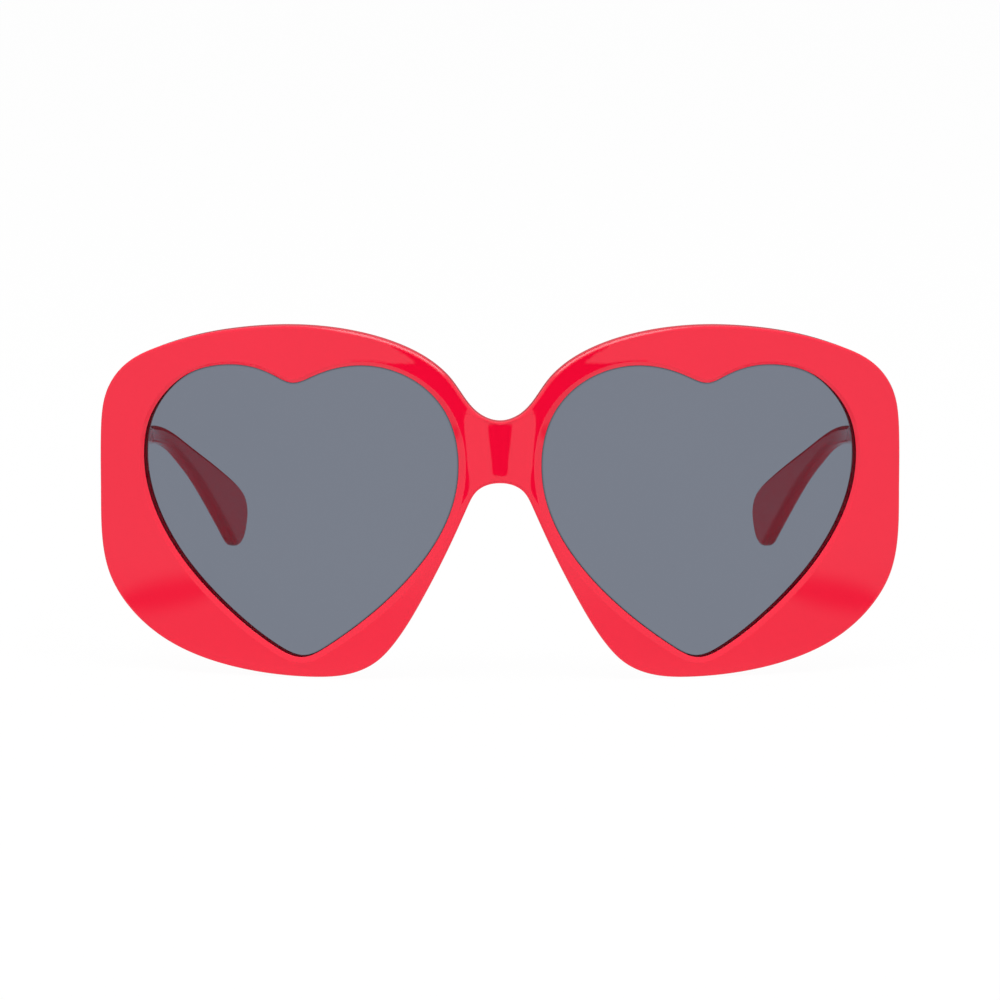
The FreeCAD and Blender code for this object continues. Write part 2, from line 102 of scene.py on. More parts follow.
# Rows of the outline, and of the heart counted backwards, that face each other across the rim
RIM_TIES = (
    (0.0, 6.0), (4.0, 5.0), (7.0, 0.0), (11.0, -5.0), (14.0, -7.0), (18.0, -10.0),
    (21.0, -12.0), (22.0, -13.0), (25.0, -15.0), (27.0, -17.0), (31.0, -18.4),
)

# Side view of the temple from the top of its butt, back to the paddle and forward again:
# shares of the temple's length, and of its drop below the hinge
TEMPLE_SHARES = (
    (0.160, 0.172), (0.320, 0.124), (0.460, 0.097), (0.560, 0.093), (0.630, 0.082),
    (0.685, 0.020), (0.742, -0.071), (0.840, -0.226), (0.925, -0.372), (0.965, -0.456),
    (0.990, -0.549), (1.000, -0.673), (0.995, -0.814), (0.983, -0.929), (0.955, -1.000),
    (0.931, -0.934), (0.889, -0.772), (0.830, -0.553), (0.775, -0.372), (0.725, -0.237),
    (0.680, -0.133), (0.635, -0.078), (0.560, -0.073), (0.460, -0.084), (0.320, -0.115),
    (0.160, -0.172),
)

# The straight nasal edge of the front that a nose pad follows, in shares as for the outline
PAD_EDGE_SHARES = ((1.000, 0.102, 0.226), (1.000, 0.010, 0.413))


class Side(Enum):
    """The side of the object that a piece is on, as the sign of its X."""

    LEFT = -1
    RIGHT = 1

    def node(self, name: str) -> str:
        """The name of this side's node or body."""
        return self.name.lower() + "_" + name


class Spline:
    """Cubic spline through points of the plane, by chord length."""

    def __init__(self, points: np.ndarray, closed: bool) -> None:
        """Solve for the second derivatives that make the spline smooth.

        At each point the slopes of the two pieces agree, which is one equation in the second
        derivatives there and at the two neighbours. An open spline is straight at its ends.

        Args:
            points: Rows of plane coordinates.
            closed: Whether the last point joins the first.
        """
        ring = np.vstack([points, points[:1]]) if closed else points
        steps = np.linalg.norm(np.diff(ring, axis=0), axis=1)
        slopes = np.diff(ring, axis=0) / steps[:, None]
        count = len(points)
        here = np.arange(count) if closed else np.arange(1, count - 1)
        matrix = np.eye(count)
        matrix[here, here] = 2 * (steps[here - 1] + steps[here])
        matrix[here, here - 1] = steps[here - 1]
        matrix[here, (here + 1) % count] = steps[here]
        right = np.zeros((count, 2))
        right[here] = 6 * (slopes[here] - slopes[here - 1])
        bends = np.linalg.solve(matrix, right)
        self.points = ring
        self.knots = np.concatenate([[0.0], np.cumsum(steps)])
        self.bends = np.vstack([bends, bends[:1]]) if closed else bends

    @property
    def length(self) -> float:
        """The last knot."""
        return float(self.knots[-1])

    def at_rows(self, rows: np.ndarray) -> np.ndarray:
        """Parameters of rows of the point table, between rows and before the first one too."""
        turns, rest = np.divmod(rows, len(self.knots) - 1)
        return turns * self.length + np.interp(rest, np.arange(len(self.knots)), self.knots)

    def sample(self, params: np.ndarray) -> tuple[np.ndarray, np.ndarray]:
        """Points and unit tangents of the spline.

        Args:
            params: Chord length parameters, taken modulo the spline's length.

        Returns:
            Two arrays with a row for each parameter.
        """
        spot = np.where(params == self.length, params, np.mod(params, self.length))
        index = np.clip(np.searchsorted(self.knots, spot, side="right") - 1, 0, len(self.knots) - 2)
        step = (self.knots[index + 1] - self.knots[index])[:, None]
        after = (spot - self.knots[index])[:, None] / step
        before = 1 - after
        start, end = self.points[index], self.points[index + 1]
        bend_start, bend_end = self.bends[index], self.bends[index + 1]
        spots = before * start + after * end
        spots += ((before**3 - before) * bend_start + (after**3 - after) * bend_end) * step**2 / 6
        slope = (end - start) / step
        slope += ((1 - 3 * before**2) * bend_start + (3 * after**2 - 1) * bend_end) * step / 6
        return spots, slope / np.linalg.norm(slope, axis=1, keepdims=True)


def right_normals(tangents: np.ndarray) -> np.ndarray:
    """Unit tangents of a plane curve, turned a quarter to the right."""
    return np.stack([tangents[:, 1], -tangents[:, 0]], axis=1)


def rounded_profile(corners: list[tuple[float, float, float]], steps: int) -> np.ndarray:
    """Open profile whose inner corners are replaced by arcs that touch both sides.

    The middle of a corner's arc lies on the bisector, at the radius over the sine of half the
    angle, and the arc turns by what the half angle lacks to a right angle on either side.

    Args:
        corners: Rows of two coordinates and the radius at that corner, zero for a sharp one.
        steps: Points in each arc.

    Returns:
        The profile's points in order.
    """
    spots = np.array([corner[:2] for corner in corners], float)
    rows = [spots[:1]]
    for before, here, after, corner in zip(spots, spots[1:], spots[2:], corners[1:]):
        back = (before - here) / np.linalg.norm(before - here)
        ahead = (after - here) / np.linalg.norm(after - here)
        half = math.acos(float(np.clip(back @ ahead, -1, 1))) / 2
        bisector = (back + ahead) / np.linalg.norm(back + ahead)
        across = (ahead - back) / np.linalg.norm(ahead - back)
        centre = here + bisector * corner[2] / math.sin(half)
        turn = np.linspace(-1, 1, steps if corner[2] else 1)[:, None] * (math.pi / 2 - half)
        rows.append(centre + corner[2] * (np.sin(turn) * across - np.cos(turn) * bisector))
    rows.append(spots[-1:])
    return np.vstack(rows)


def edge_band(inset: float, faces: Pair, rounds: Pair, steps: int) -> np.ndarray:
    """Profile of an edge between two faces, rounded at both.

    Args:
        inset: How far the edge lies inside the outline.
        faces: Where the two faces are.
        rounds: How far in the roundings reach, the first one as measured from zero.
        steps: Points in each arc.

    Returns:
        Rows of the distance inside the outline and the place between the faces.
    """
    (near, far), (first, last) = faces, rounds
    corners = [
        (inset + first, near, 0.0),
        (inset, near, first - LAND - near),
        (inset, far, last - LAND),
        (inset + last, far, 0.0),
    ]
    return rounded_profile(corners, steps)


def eased(count: int) -> np.ndarray:
    """Shares from 0 to 1 that crowd towards both ends, as a half turn of a circle does."""
    return (1 - np.cos(np.linspace(0, math.pi, count))) / 2


def between(start: np.ndarray, end: np.ndarray, shares: np.ndarray) -> np.ndarray:
    """Straight rungs from rows of start points to rows of end points, as a grid."""
    return start[:, None] * (1 - shares[None, :, None]) + end[:, None] * shares[None, :, None]


def grid_quads(rows: int, columns: int, closed: bool = False) -> np.ndarray:
    """Quads between each four neighbours of a grid.

    Args:
        rows: The grid's rows.
        columns: Its columns.
        closed: Whether the last row joins the first.

    Returns:
        Rows of four indices.
    """
    index = np.arange(rows * columns).reshape(rows, columns)
    if closed:
        index = np.vstack([index, index[:1]])
    corners = index[:-1, :-1], index[1:, :-1], index[1:, 1:], index[:-1, 1:]
    return np.stack(corners, axis=-1).reshape(-1, 4)


def quad_mesh(name: str, points: np.ndarray, quads: np.ndarray, mask: np.ndarray) -> bpy.types.Mesh:
    """A mesh of quads that keeps its mask, unless that is zero all over.

    Args:
        name: The mesh's name.
        points: Rows of three coordinates, in metres.
        quads: Rows of four indices.
        mask: A value for each point.

    Returns:
        The new mesh.
    """
    mesh = bpy.data.meshes.new(name)
    mesh.from_pydata(points.tolist(), [], quads.tolist())
    if mask.any():
        values = mesh.attributes.new(MASK, "FLOAT", "POINT").data
        values.foreach_set("value", mask.astype(np.float32))
    return mesh


def stand(name: str, data: bpy.types.ID) -> bpy.types.Object:
    """A new object in the scene, at the origin.

    Args:
        name: The object's name.
        data: What it shows.

    Returns:
        The new object.
    """
    thing = bpy.data.objects.new(name, data)
    bpy.context.scene.collection.objects.link(thing)
    return thing


class Shell:
    """Grids of points, in millimetres in the front's frame, that become one closed mesh."""

    def __init__(self) -> None:
        """Start with no grids."""
        self.points: list[np.ndarray] = []
        self.faces: list[np.ndarray] = []
        self.masks: list[np.ndarray] = []
        self.count = 0

    def add(self, grid: np.ndarray, closed: bool = False, mask: np.ndarray | float = 0.0) -> None:
        """Take a grid of points with a quad between each four neighbours.

        Args:
            grid: Array of rows, columns and three coordinates.
            closed: Whether the last row joins the first.
            mask: How much each point belongs to the rim, where the lens gets its painted shade.
        """
        rows, columns = grid.shape[:2]
        self.points.append(grid.reshape(-1, 3))
        self.masks.append(np.broadcast_to(mask, (rows, columns)).ravel())
        self.faces.append(grid_quads(rows, columns, closed) + self.count)
        self.count += rows * columns

    def mirror(self) -> None:
        """Add the mirror image of every grid in the plane x = 0."""
        points, faces = np.vstack(self.points), np.vstack(self.faces)
        self.points.append(points * (-1, 1, 1))
        self.faces.append(faces + self.count)
        self.masks *= 2
        self.count *= 2

    def piece(self, name: str, side: Side = Side.RIGHT) -> bpy.types.Object:
        """Weld the grids into a smooth mesh object at the origin.

        Args:
            name: The object's name.
            side: The left side gets the mirror image.

        Returns:
            The new object, with its faces turned outwards.
        """
        points = placed(np.vstack(self.points) * (side.value, 1, 1))
        mesh = quad_mesh(name, points, np.vstack(self.faces), np.concatenate(self.masks))
        welded = bmesh.new()
        welded.from_mesh(mesh)
        bmesh.ops.remove_doubles(welded, verts=welded.verts, dist=WELD * MM)
        bmesh.ops.dissolve_degenerate(welded, edges=welded.edges, dist=WELD * MM)
        bmesh.ops.recalc_face_normals(welded, faces=welded.faces)
        welded.to_mesh(mesh)
        welded.free()
        mesh.polygons.foreach_set("use_smooth", np.ones(len(mesh.polygons), bool))
        mesh.set_sharp_from_angle(angle=math.radians(SHARP_ANGLE))
        return stand(name, mesh)


@dataclass(frozen=True)
class Wrap:
    """The cylinder that the front is wrapped round, and the front's box measures."""

    radius: float = 210.0
    lens_width: float = 58.4
    lens_height: float = 54.8
    bridge_gap: float = 15.2
    temporal_rim: float = 8.3
    top_rim: float = 7.1
    bottom_rim: float = 3.7
    thickness: float = 3.4

    @property
    def half_gap(self) -> float:
        """From the middle to the opening's nasal side."""
        return self.bridge_gap / 2

    @property
    def rim_reach(self) -> float:
        """From the opening's nasal side to the temporal edge of the front."""
        return self.lens_width + self.temporal_rim

    def heart(self) -> Spline:
        """The right opening in the front view."""
        scale = (self.lens_width, self.lens_height)
        return Spline(np.array(HEART_SHARES) * scale + (self.half_gap, self.bottom_rim), True)

    def front_points(self, shares: tuple[tuple[float, float, float], ...]) -> np.ndarray:
        """Front view points from a table of shares.

        Args:
            shares: Rows of shares of the half gap, the rim's reach and the height.

        Returns:
            Rows of two coordinates.
        """
        table = np.array(shares)
        height = self.bottom_rim + self.lens_height + self.top_rim
        across = table[:, 0] * self.half_gap + table[:, 1] * self.rim_reach
        return np.stack([across, table[:, 2] * height], axis=1)

    def outline(self) -> Spline:
        """The front's whole outline in the front view, the right half first."""
        half = self.front_points(OUTLINE_SHARES)
        return Spline(np.vstack([half, half[-2:0:-1] * (-1, 1)]), True)

    def at_depth(self, flat: np.ndarray, depth: np.ndarray | float) -> np.ndarray:
        """Carry front view points to a depth behind the wrapped face, square to it.

        A point x across lies at the angle asin(x / radius), at the radius less the depth.

        Args:
            flat: Front view points, two coordinates in the last axis.
            depth: Depths of the points.

        Returns:
            Points in three coordinates.
        """
        share = flat[..., 0] / self.radius
        reach = self.radius - depth + 0 * share
        ahead = self.radius - reach * np.sqrt(1 - share**2)
        return np.stack([reach * share, ahead, flat[..., 1]], axis=-1)

    def sag(self, depth: float, across: np.ndarray | float) -> np.ndarray:
        """How far back the surface at a depth lies, at a distance from the middle."""
        return self.radius - np.sqrt((self.radius - depth) ** 2 - np.square(across))


@dataclass(frozen=True)
class Hinge:
    """Where the right hinge's pin stands, and the room that the acetate leaves for it."""

    wrap: Wrap
    height: float = 42.6
    tilt: float = 9.8
    temple_inset: float = 1.4
    temple_thickness: float = 4.2
    lug_length: float = 7.6
    leaf_face: float = 0.35
    relief_radius: float = 1.55
    butt_gap: float = 0.15

    @property
    def pin(self) -> np.ndarray:
        """The pin's middle in the front's frame."""
        outer = self.wrap.half_gap + self.wrap.rim_reach - self.temple_inset
        across = outer - self.temple_thickness - self.leaf_face
        back = self.wrap.sag(self.wrap.thickness, across)
        return np.array([across, back + self.lug_length, self.height])

    @property
    def lean(self) -> Pair:
        """Sine and cosine of the tilt."""
        return math.sin(math.radians(self.tilt)), math.cos(math.radians(self.tilt))

    def butt(self, across: np.ndarray) -> np.ndarray:
        """How far the butt face is from the pin's plane: half the gap, or clear of the barrels."""
        room = np.sqrt(np.maximum(self.relief_radius**2 - np.square(across), 0))
        return np.maximum(room, self.butt_gap / 2)

    def from_pin(self, local: np.ndarray) -> np.ndarray:
        """Turn points from the pin's frame, where the temple runs along +Y, by the tilt."""
        (sine, cosine), (x, y, z) = self.lean, np.moveaxis(local, -1, 0)
        return np.stack([x, y * cosine + z * sine, z * cosine - y * sine], axis=-1) + self.pin


WRAP = Wrap()
HINGE = Hinge(WRAP)


def frame_shift() -> np.ndarray:
    """From the front's frame to the object's frame in millimetres, by the right temple's pin."""
    joint = next(j for j in frame["joints"] if j["name"] == Side.RIGHT.node("temple_fold"))
    return np.array(joint["pos_m"]) / MM - HINGE.pin


SHIFT = frame_shift()


def placed(points: np.ndarray) -> np.ndarray:
    """Points in the front's frame as metres in the object's frame."""
    return (points + SHIFT) * MM


class Bench:
    """A node tree with short ways to add and join nodes."""

    def __init__(self, tree: bpy.types.NodeTree) -> None:
        """Work on a tree."""
        self.tree = tree

    def feed(self, socket: Socket, value: Any) -> None:
        """Set an input, or join a socket to it.

        Args:
            socket: The input.
            value: A number, a colour, a vector or a socket.
        """
        if isinstance(value, Socket):
            self.tree.links.new(value, socket)
        else:
            socket.default_value = value

    def add(self, kind: str, own: dict[str, Any] | None = None, *first: Any, **named: Any) -> Node:
        """Add a node.

        Args:
            kind: The node's type.
            own: Its own properties.
            *first: What feeds its first inputs, in order.
            **named: What feeds inputs by name, with _ for a space.

        Returns:
            The new node.
        """
        node = self.tree.nodes.new(kind)
        for name, value in (own or {}).items():
            setattr(node, name, value)
        for socket, value in zip(node.inputs, first):
            self.feed(socket, value)
        for name, value in named.items():
            self.feed(node.inputs[name.replace("_", " ")], value)
        return node

    def mix(self, share: Socket, low: Colour | Socket, high: Colour) -> Socket:
        """A colour between two.

        Args:
            share: How much of the second one shows, over the surface.
            low: The first colour.
            high: The second colour.

        Returns:
            The mixed colour.
        """
        node = self.add("ShaderNodeMix", {"data_type": "RGBA"}, share)
        for index, value in zip(MIX_COLOURS, (low, high)):
            self.feed(node.inputs[index], value if isinstance(value, Socket) else (*value, 1.0))
        return node.outputs[MIX_RESULT]

    def rays(self, *kinds: str) -> Socket:
        """Whether a ray is of one of some kinds.

        Args:
            *kinds: The kinds, as Light Path names them.

        Returns:
            One for such rays, and zero for others.
        """
        path = self.add("ShaderNodeLightPath").outputs
        total = path[kinds[0]]
        for kind in kinds[1:]:
            step = self.add("ShaderNodeMath", {"operation": "MAXIMUM"}, total, path[kind])
            total = step.outputs[0]
        return total

    def surface(self, share: Socket, low: Node, high: Node) -> None:
        """Show the second of two shaders by a share, and the first by the rest."""
        mixed = self.add("ShaderNodeMixShader", None, share, low.outputs[0], high.outputs[0])
        self.feed(self.tree.nodes["Material Output"].inputs["Surface"], mixed.outputs[0])


def new_material(name: str) -> tuple[Material, Bench]:
    """A new material with nodes.

    Args:
        name: The material's name.

    Returns:
        The material, and the bench of its nodes.
    """
    made = bpy.data.materials.new(name)
    made.use_nodes = True
    return made, Bench(made.node_tree)


def polish_group() -> bpy.types.NodeTree:
    """Shared effect of handling: broad clouding, fine rub marks and a slight unevenness.

    Clouding is a smooth noise. The rub marks are a fine noise, raised so that only its peaks
    dull the surface, and the roughness runs between the two given values by them.

    Returns:
        The node group.
    """
    tree = bpy.data.node_groups.new("handled_polish", "ShaderNodeTree")
    socket = tree.interface.new_socket
    socket("Vector", in_out="INPUT", socket_type="NodeSocketVector")
    for name in ("Cloud Scale", "Mark Scale", "Least Roughness", "Most Roughness"):
        socket(name, in_out="INPUT", socket_type="NodeSocketFloat")
    for name in ("Cloud", "Roughness", "Height"):
        socket(name, in_out="OUTPUT", socket_type="NodeSocketFloat")
    bench = Bench(tree)
    given = bench.add("NodeGroupInput").outputs
    noise, place = "ShaderNodeTexNoise", given["Vector"]
    clouds = bench.add(noise, Vector=place, Scale=given["Cloud Scale"], Detail=CLOUD_DETAIL)
    marks = bench.add(
        noise, Vector=place, Scale=given["Mark Scale"], Detail=MARK_DETAIL, Roughness=MARK_ROUGHNESS
    ).outputs["Fac"]
    peaks = bench.add(
        "ShaderNodeMapRange", {"interpolation_type": "SMOOTHSTEP"}, marks, *MARK_RANGE
    ).outputs["Result"]
    rough = bench.add(
        "ShaderNodeMapRange", Value=peaks,
        To_Min=given["Least Roughness"], To_Max=given["Most Roughness"],
    ).outputs["Result"]
    bench.add("NodeGroupOutput", None, clouds.outputs["Fac"], rough, marks)
    return tree


POLISH = polish_group()


@dataclass(frozen=True)
class Finish:
    """What every finish has: two tones, least and most roughness, scales of clouds and marks."""

    name: str
    colour: Colour
    deep: Colour
    roughness: Pair
    scales: Pair
    bump: float
    stretch: tuple[float, float, float] = (1.0, 1.0, 1.0)

    def material(self) -> Material:
        """The finish as a material whose tone, polish and relief follow the shared effect.

        Returns:
            The new material.
        """
        made, bench = new_material(self.name)
        place = bench.add("ShaderNodeTexCoord").outputs["Object"]
        drawn = bench.add("ShaderNodeMapping", Vector=place, Scale=self.stretch).outputs["Vector"]
        polish = bench.add(
            "ShaderNodeGroup", {"node_tree": POLISH}, drawn, *self.scales, *self.roughness
        ).outputs
        bump = bench.add("ShaderNodeBump", Height=polish["Height"], Strength=self.bump, Distance=MM)
        shader = made.node_tree.nodes["Principled BSDF"].inputs
        bench.feed(shader["Base Color"], self.tone(bench, polish["Cloud"]))
        bench.feed(shader["Roughness"], polish["Roughness"])
        bench.feed(shader["Normal"], bump.outputs["Normal"])
        for name, value in self.fixed().items():
            shader[name].default_value = value
        return made

    def tone(self, bench: Bench, cloud: Socket) -> Socket:
        """The colour, clouded between the two tones."""
        return bench.mix(cloud, self.colour, self.deep)

    def fixed(self) -> dict[str, float]:
        """The shader's values that are the same all over the surface."""
        return {}


@dataclass(frozen=True)
class AcetateFinish(Finish):
    """Polished cellulose acetate."""

    refraction: float = 1.49

    def fixed(self) -> dict[str, float]:
        """The gloss of bare plastic."""
        return {"IOR": self.refraction}


@dataclass(frozen=True)
class LensFinish(Finish):
    """Tinted lens, clear all through, with a coating that leaves it little reflection."""

    refraction: float = 1.16
    # Painted shade: the near-black that the lens takes along its rim, where the groove shades it
    rim: Colour = (0.010, 0.006, 0.008)

    def tone(self, bench: Bench, cloud: Socket) -> Socket:
        """The tint, with painted shade that darkens it along the masked rim."""
        mask = bench.add("ShaderNodeAttribute", {"attribute_name": MASK}).outputs["Fac"]
        return bench.mix(mask, super().tone(bench, cloud), self.rim)

    def fixed(self) -> dict[str, float]:
        """Light goes through, and bends little."""
        return {"IOR": self.refraction, "Transmission Weight": 1.0}


@dataclass(frozen=True)
class SteelFinish(Finish):
    """Bare steel."""

    def fixed(self) -> dict[str, float]:
        """The shader of a metal."""
        return {"Metallic": 1.0}


FINISHES: dict[str, Finish] = {
    "acetate": AcetateFinish(
        "red_acetate", (0.855, 0.003, 0.034), (0.805, 0.0025, 0.030),
        roughness=(0.008, 0.02), scales=(38.0, 900.0), bump=0.0006,
    ),
    "pad_acetate": AcetateFinish(
        "red_pad_acetate", (0.93, 0.005, 0.034), (0.84, 0.003, 0.027),
        roughness=(0.10, 0.22), scales=(60.0, 1400.0), bump=0.012,
    ),
    "tinted_lens": LensFinish(
        "grey_tinted_lens", (0.188, 0.208, 0.254), (0.183, 0.203, 0.249),
        roughness=(0.0, 0.004), scales=(30.0, 1100.0), bump=0.0,
    ),
    "hinge_steel": SteelFinish(
        "hinge_steel", (0.62, 0.61, 0.59), (0.50, 0.49, 0.48),
        roughness=(0.20, 0.42), scales=(300.0, 2600.0), bump=0.03, stretch=(1.0, 1.0, 0.15),
    ),
    "screw_steel": SteelFinish(
        "screw_steel", (0.72, 0.72, 0.72), (0.60, 0.60, 0.60),
        roughness=(0.10, 0.28), scales=(500.0, 3200.0), bump=0.02,
    ),
    "core_steel": SteelFinish(
        "core_steel", (0.60, 0.60, 0.60), (0.52, 0.52, 0.52),
        roughness=(0.22, 0.40), scales=(300.0, 2600.0), bump=0.02, stretch=(1.0, 0.1, 1.0),
    ),
}
MATERIALS = {slot: finish.material() for slot, finish in FINISHES.items()}


def finish_piece(piece: bpy.types.Object, slot: str, body: str, *nodes: str) -> None:
    """Dress a new piece, let it ride on its body and stand for its CAD nodes.

    Args:
        piece: The new object.
        slot: The record's material slot, which also names the finish.
        body: The CAD body that it moves with.
        *nodes: The CAD nodes that it stands for.
    """
    piece.data.materials.append(MATERIALS[slot])
    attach(piece, body)
    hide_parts(*nodes)
    LOG.info("%s: %d faces in %s on %s", piece.name, len(piece.data.polygons), slot, body)


def slab_grids(
    top: np.ndarray, foot: np.ndarray, profile: np.ndarray, columns: int
) -> tuple[np.ndarray, np.ndarray]:
    """Grids for a slab with rounded edges, from edge profiles at its top and foot.

    Each station's section is a loop: over the top edge, down the outer face, under the foot
    edge and up the inner face. The end grid closes the first station from top to foot.

    Args:
        top: Side view points of the top edge, by station and profile point.
        foot: The same for the foot edge.
        profile: The profile's distances from the inner face in its second column.
        columns: Points down each face.

    Returns:
        The loop grid, by loop point and station, and the end grid, both with side view points
        and the distance from the inner face in the last axis.
    """
    def with_width(flat: np.ndarray) -> np.ndarray:
        """Side view points with their distance from the inner face."""
        width = np.broadcast_to(profile[:, 1], flat.shape[:2])
        return np.concatenate([flat, width[..., None]], axis=-1)

    upper, lower = with_width(top), with_width(foot)
    outer = between(upper[:, -1], lower[:, -1], eased(columns))[:, 1:-1]
    inner = between(lower[:, 0], upper[:, 0], eased(columns))[:, 1:-1]
    loop = np.concatenate([upper, outer, lower[:, ::-1], inner], axis=1)
    return np.swapaxes(loop, 0, 1), between(upper[0], lower[0], eased(columns))


@dataclass
class Front:
    """The acetate front: wrapped plate, bevelled heart openings and hinge end pieces."""

    wrap: Wrap
    hinge: Hinge
    tumbled_off: float = 0.07
    outer_edge_round: float = 0.5
    back_edge_round: float = 0.8
    bevel_width: float = 1.2
    bevel_depth: float = 0.55
    bevel_round: float = 0.06
    bevel_rows: tuple[float, ...] = (0, 3, 5, 7, 9, 12, 14, 16, 18, 20, 23, 27)
    bevel_shares: tuple[float, ...] = (
        0.58, 0.60, 0.70, 1.00, 1.08, 1.00, 0.80, 0.75, 0.60, 0.48, 0.48, 0.58
    )
    opening_back_round: float = 0.5
    groove_depth: float = 0.85
    groove_start: float = 0.65
    groove_end: float = 2.55
    groove_land: float = 0.5
    lug_root: float = 1.4
    lug_height: float = 10.0
    lug_edge_round: float = 1.0
    lug_flare: float = 0.9
    leaf_proud: float = 0.03
    spacing: float = 0.4
    rings: int = 12

    def opening_profile(self) -> np.ndarray:
        """Opening's wall from the bevel to the back.

        Returns:
            Rows of the set-back from the heart and the depth.
        """
        thick, soft = self.wrap.thickness, self.bevel_round
        middle = (self.groove_start + self.groove_end) / 2
        return rounded_profile(
            [
                (self.bevel_width + 2 * soft, 0.0, 0.0),
                (self.bevel_width, 0.0, 4 * soft),
                (0.0, self.bevel_depth, soft / 2),
                (0.0, self.groove_start, soft / 4),
                (self.groove_depth, middle - self.groove_land / 2, 0.0),
                (self.groove_depth, middle + self.groove_land / 2, 0.0),
                (0.0, self.groove_end, soft / 2),
                (0.0, thick, self.opening_back_round - LAND),
                (self.opening_back_round, thick, 0.0),
            ],
            steps=6,
        )

    def plate(self, shell: Shell) -> None:
        """The wrapped plate with both openings.

        The half outline and its chord in the middle plane make one loop round the heart. Two
        profiles are carried along it, the outer edge along the outline and the opening's wall
        round the heart, and the face and the back are straight rungs between their ends. The
        ties set which points face each other, and between ties both advance evenly. The bevel's
        width is a share of its greatest one that changes round the heart.

        Args:
            shell: Takes the grids of the right half.
        """
        ties = np.array(RIM_TIES)
        outline, heart = self.wrap.outline(), self.wrap.heart()
        tied_outer, tied_inner = outline.at_rows(ties[:, 0]), heart.at_rows(ties[:, 1])
        along = np.linspace(0, tied_outer[-1], int(tied_outer[-1] / self.spacing))
        round_heart = np.interp(along, tied_outer, tied_inner)
        bridge = np.linspace(round_heart[-1], round_heart[0] - heart.length, 2 * self.rings)[1:-1]
        outer, outer_tangents = outline.sample(along)
        params = np.concatenate([round_heart, bridge])
        inner, inner_tangents = heart.sample(params)
        rounds = (self.outer_edge_round, self.back_edge_round)
        edge = edge_band(self.tumbled_off, (0.0, self.wrap.thickness), rounds, steps=10)
        wall = self.opening_profile()
        edge_flat = outer[:, None] + right_normals(outer_tangents)[:, None] * edge[None, :, :1]
        edge_flat[[0, -1], :, 0] = 0.0
        rows = np.interp(np.mod(params, heart.length), heart.knots, np.arange(len(heart.knots)))
        bevel = np.interp(rows, self.bevel_rows, self.bevel_shares)[:, None]
        back_off = wall[None, :, 0] * np.where(wall[None, :, 1] < self.groove_start, bevel, 1.0)
        wall_flat = inner[:, None] + right_normals(inner_tangents)[:, None] * back_off[..., None]
        shell.add(self.wrap.at_depth(edge_flat, edge[None, :, 1]))
        shell.add(self.wrap.at_depth(wall_flat, wall[None, :, 1]), closed=True)
        for end, depth in ((0, 0.0), (-1, self.wrap.thickness)):
            share = np.linspace(0, 1, len(bridge) + 2)[1:-1]
            chord = between(edge_flat[-1:, end], edge_flat[:1, end], share)[0]
            rim = np.vstack([edge_flat[:, end], chord])
            face = between(rim, wall_flat[:, end], eased(self.rings))
            shell.add(self.wrap.at_depth(face, depth), closed=True)

    def lug(self, shell: Shell) -> None:
        """The end piece that carries the right hinge behind the temporal rim.

        A slab with rounded edges runs from inside the plate to the butt. It flares at its root
        by a quarter circle, as far from the plate's back as its radius.

        Args:
            shell: Takes the grids.
        """
        reach, thick = self.lug_flare, self.hinge.temple_thickness
        faces, rounds = (self.leaf_proud, thick), (self.lug_edge_round, self.lug_edge_round)
        profile = edge_band(0.0, faces, rounds, steps=8)
        turn = np.linspace(0, math.pi / 2, FLARE_STEPS)
        away = np.concatenate([[-self.lug_root], reach * (1 - np.cos(turn))])
        flare = np.concatenate([[reach], reach * (1 - np.sin(turn))])
        rise = (self.lug_height / 2 - profile[None, :, 0]) + flare[:, None]
        stations = np.broadcast_to(away[:, None], rise.shape)
        top, foot = np.stack([stations, rise], axis=-1), np.stack([stations, -rise], axis=-1)
        loop, _ = slab_grids(top, foot, profile, self.rings)
        (sine, cosine), pin = self.hinge.lean, self.hinge.pin
        distance, height, width = np.moveaxis(loop, -1, 0)
        inward = np.broadcast_to(flare, distance.shape) * (1 - width / thick)
        across = self.hinge.leaf_face + width - inward
        back = self.wrap.sag(self.wrap.thickness, pin[0] + across)
        root = (back - pin[1] - height * sine) / cosine
        start = np.stack([across, root + distance, height], axis=-1)
        last = start[:, -1]
        butt = np.stack([last[:, 0], -self.hinge.butt(last[:, 0]), last[:, 2]], axis=-1)
        run = between(last, butt, np.linspace(0, 1, self.rings))
        shell.add(self.hinge.from_pin(np.concatenate([start, run[:, 1:]], axis=1)), closed=True)
        count = len(profile)
        for end in (butt, start[:, 0]):
            lower = end[count + self.rings - 2 : 2 * count + self.rings - 2][::-1]
            shell.add(self.hinge.from_pin(between(end[:count], lower, eased(self.rings))))

    def build(self) -> None:
        """The whole front as one piece, in place of its CAD node."""
        shell = Shell()
        self.plate(shell)
        self.lug(shell)
        shell.mirror()
        finish_piece(shell.piece("front_acetate"), "acetate", "front", "front_frame")


